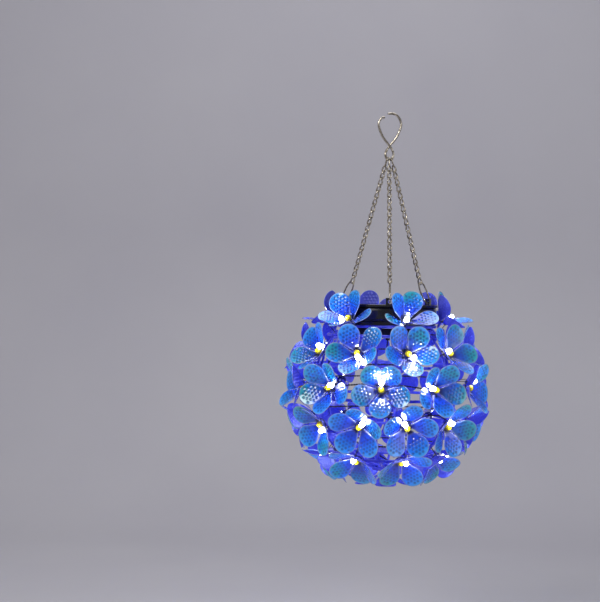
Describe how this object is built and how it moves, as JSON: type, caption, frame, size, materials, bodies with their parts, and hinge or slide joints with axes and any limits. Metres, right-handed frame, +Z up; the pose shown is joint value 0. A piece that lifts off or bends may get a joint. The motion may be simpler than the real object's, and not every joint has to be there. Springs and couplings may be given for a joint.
{
  "type": "solar flower-ball lantern",
  "caption": "Round hanging solar lantern: sheet-metal flowers with lamps on a wire ball, black solar lid, three chains and a figure-8 hook.",
  "frame": {"origin": "hook seat: the inside of the top of the hook's open loop, where it hangs on a branch or peg", "axes": "+Z up along the hanging line, front towards -Y, +X to the right seen from the front"},
  "size_m": [0.2029, 0.2015, 0.3581],
  "materials": {
    "wire_steel": "tarnished nickel plate",
    "black_gloss": "glossy black",
    "black_matt": "satin black",
    "solar_glass": "clear resin over dark blue cells",
    "battery_sleeve": "plain green sleeve",
    "screw_steel": "zinc plate",
    "board_green": "solder mask",
    "frame_enamel": "blue-violet enamel",
    "petal_enamel": "hammered metallic enamel, blue to teal",
    "pistil_yellow": "glossy yellow enamel",
    "led_glow": "clear dome, lit white",
    "black_wire": "satin black insulation"
  },
  "bodies": {
    "hook": {"hook": "wire_steel"},
    "end_links": {"end_links": "wire_steel"},
    "solar_unit": {"chain_front": "wire_steel", "chain_left": "wire_steel", "chain_right": "wire_steel", "hangers": "wire_steel", "solar_housing": "black_gloss", "solar_cell": "solar_glass", "battery_box": "black_matt", "battery": "battery_sleeve", "screws": "screw_steel", "circuit_board": "board_green"},
    "battery_door": {"battery_door": "black_matt"},
    "power_switch": {"power_switch": "black_matt"},
    "flower_ball": {"collar_ring": "frame_enamel", "frame_rings": "frame_enamel", "frame_ribs": "frame_enamel", "flower_stems": "frame_enamel", "pistils": "pistil_yellow", "led_lamps": "led_glow", "led_string": "black_wire", "led_lead": "black_wire", "flowers_bottom": "petal_enamel", "flower_top_1": "petal_enamel", "flower_top_2": "petal_enamel", "flower_top_3": "petal_enamel", "flower_top_4": "petal_enamel", "flower_top_5": "petal_enamel", "flower_top_6": "petal_enamel", "flower_upper_1": "petal_enamel", "flower_upper_2": "petal_enamel", "flower_upper_3": "petal_enamel", "flower_upper_4": "petal_enamel", "flower_upper_5": "petal_enamel", "flower_upper_6": "petal_enamel", "flower_upper_7": "petal_enamel", "flower_upper_8": "petal_enamel", "flower_upper_9": "petal_enamel", "flower_upper_10": "petal_enamel", "flower_middle_1": "petal_enamel", "flower_middle_2": "petal_enamel", "flower_middle_3": "petal_enamel", "flower_middle_4": "petal_enamel", "flower_middle_5": "petal_enamel", "flower_middle_6": "petal_enamel", "flower_middle_7": "petal_enamel", "flower_middle_8": "petal_enamel", "flower_middle_9": "petal_enamel", "flower_middle_10": "petal_enamel", "flower_lower_1": "petal_enamel", "flower_lower_2": "petal_enamel", "flower_lower_3": "petal_enamel", "flower_lower_4": "petal_enamel", "flower_lower_5": "petal_enamel", "flower_lower_6": "petal_enamel", "flower_lower_7": "petal_enamel", "flower_lower_8": "petal_enamel", "flower_lower_9": "petal_enamel", "flower_lower_10": "petal_enamel", "flower_lower_11": "petal_enamel"}
  },
  "joints": [
    {"name": "swing_front_back", "type": "hinge", "parent": "hook", "child": "end_links", "pos_m": [0, 0, -0.0433], "axis": [1, 0, 0], "range_deg": [-20, 20]},
    {"name": "swing_sideways", "type": "hinge", "parent": "end_links", "child": "solar_unit", "pos_m": [0, -0.00215, -0.04996], "axis": [0, 1, 0], "range_deg": [-12, 12]},
    {"name": "ball_release", "type": "slide", "parent": "solar_unit", "child": "flower_ball", "axis": [0, 0, -1], "range_m": [0, 0.06]},
    {"name": "battery_door_hinge", "type": "hinge", "parent": "solar_unit", "child": "battery_door", "pos_m": [-0.0247, 0, -0.2132], "axis": [0, 1, 0], "range_deg": [0, 90]},
    {"name": "switch_slide", "type": "slide", "parent": "solar_unit", "child": "power_switch", "axis": [1, 0, 0], "range_m": [0, 0.003]}
  ]
}
